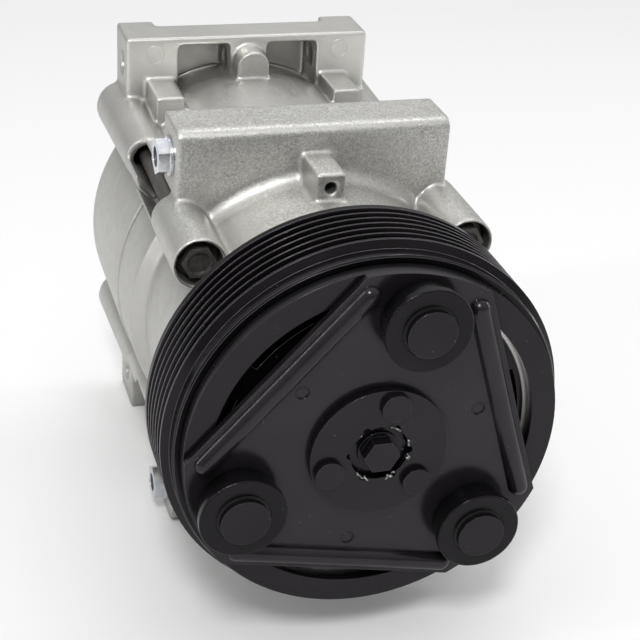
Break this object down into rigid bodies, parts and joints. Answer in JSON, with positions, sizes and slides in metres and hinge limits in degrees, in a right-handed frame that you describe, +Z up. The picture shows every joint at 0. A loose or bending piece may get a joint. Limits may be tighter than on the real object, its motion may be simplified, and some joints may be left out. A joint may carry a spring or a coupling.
{
  "type": "automotive air conditioning compressor",
  "caption": "Belt-driven swash-plate refrigerant compressor with an electromagnetic clutch, cast two-part body, long side-bolt mounting blocks and ribbed pulley.",
  "frame": {"origin": "on the shaft axis, in the middle plane of the belt track", "axes": "+Y along the shaft from the pulley to the rear face, +Z up towards the upper mounting blocks, +X to the right seen from the pulley"},
  "size_m": [0.13, 0.2104, 0.154],
  "materials": {
    "cast": "sand-cast, blasted",
    "cast_inner": "machined casting",
    "black_coat": "satin black",
    "black_pulley": "satin black",
    "bare_steel": "ground",
    "dark_steel": "black oxide",
    "zinc": "bright zinc",
    "rubber": "matt",
    "bronze": "plain",
    "copper": "enamelled",
    "plastic": "moulded",
    "gasket": "coated"
  },
  "bodies": {
    "casing": {"front_housing": "cast", "rear_housing": "cast", "housing_seal": "rubber", "through_bolts": "dark_steel", "bolt_washers": "bronze", "mount_sleeves": "zinc", "front_head_gasket": "gasket", "front_discharge_reeds": "bare_steel", "front_valve_plate": "bare_steel", "front_suction_reeds": "bare_steel", "front_cylinder_block": "cast_inner", "rear_cylinder_block": "cast_inner", "rear_suction_reeds": "bare_steel", "rear_valve_plate": "bare_steel", "rear_discharge_reeds": "bare_steel", "rear_head_gasket": "gasket", "cylinder_dowels": "bare_steel", "shaft_bushes": "bronze", "thrust_washers": "bare_steel", "swash_plate": "bare_steel", "piston_1": "cast_inner", "piston_2": "cast_inner", "piston_3": "cast_inner", "piston_4": "cast_inner", "piston_5": "cast_inner", "piston_rings": "gasket", "piston_shoes": "bare_steel", "shaft_seal": "rubber", "seal_snap_ring": "dark_steel", "bearing_inner_race": "bare_steel", "nose_snap_ring": "dark_steel", "coil_shell": "black_coat", "coil_winding": "copper", "coil_snap_ring": "dark_steel", "coil_connector": "plastic", "relief_valve": "bronze", "oil_plug": "zinc"},
    "pulley_group": {"pulley": "black_pulley", "bearing_outer_race": "bare_steel", "bearing_seals": "rubber", "pulley_snap_ring": "dark_steel"},
    "ball_set": {"bearing_balls": "bare_steel", "bearing_cage": "plastic"},
    "shaft_group": {"drive_shaft": "bare_steel", "clutch_shims": "bare_steel", "clutch_hub": "black_coat", "hub_rivets": "black_coat", "drive_plate": "black_coat", "damper_cups": "black_coat", "damper_rubbers": "rubber", "clutch_washer": "black_coat", "clutch_bolt": "dark_steel"},
    "armature": {"armature_plate": "black_coat", "damper_pins": "black_coat"},
    "thrust_set": {"thrust_cages": "bronze", "thrust_needles": "bare_steel"}
  },
  "joints": [
    {"name": "pulley_spin", "type": "hinge", "parent": "casing", "child": "pulley_group", "pos_m": [0, 0, 0], "axis": [0, 1, 0], "continuous": true},
    {"name": "ball_set_spin", "type": "hinge", "parent": "casing", "child": "ball_set", "pos_m": [0, 0, 0], "axis": [0, 1, 0], "continuous": true},
    {"name": "shaft_spin", "type": "hinge", "parent": "casing", "child": "shaft_group", "pos_m": [0, 0, 0], "axis": [0, 1, 0], "continuous": true},
    {"name": "armature_engage", "type": "slide", "parent": "shaft_group", "child": "armature", "axis": [0, 1, 0], "range_m": [0, 0.0005]},
    {"name": "thrust_set_spin", "type": "hinge", "parent": "casing", "child": "thrust_set", "pos_m": [0, 0, 0], "axis": [0, 1, 0], "continuous": true}
  ],
  "couplings": [
    {"joint": "ball_set_spin", "follows": "pulley_spin", "ratio": 0.5586},
    {"joint": "thrust_set_spin", "follows": "shaft_spin", "ratio": 0.5}
  ]
}
